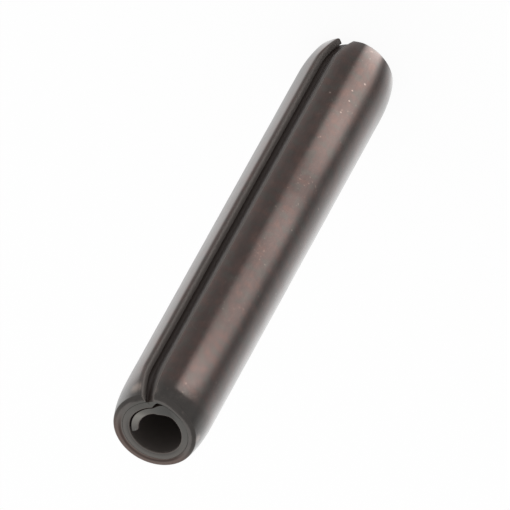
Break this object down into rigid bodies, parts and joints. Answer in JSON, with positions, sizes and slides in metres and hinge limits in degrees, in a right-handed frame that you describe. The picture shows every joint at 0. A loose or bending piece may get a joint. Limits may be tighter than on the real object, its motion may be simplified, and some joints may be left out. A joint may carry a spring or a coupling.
{
  "type": "coiled spring pin",
  "caption": "Steel strip coiled into a springy tube with swaged ends, pressed into a drilled hole to fasten or locate parts.",
  "frame": {"origin": "centre of the face of the swaged end that the pin stands on", "axes": "+Z along the pin, from the end it stands on to the other; the coil's outer edge lies at about -38 degrees from +X"},
  "size_m": [0.0064, 0.0064, 0.04],
  "materials": {
    "spring_steel": "dark brown-grey oiled oxide on cold-rolled strip, semi-gloss, with a fine grain along the pin"
  },
  "bodies": {
    "root": {"coiled_spring_pin": "spring_steel"}
  },
  "joints": []
}
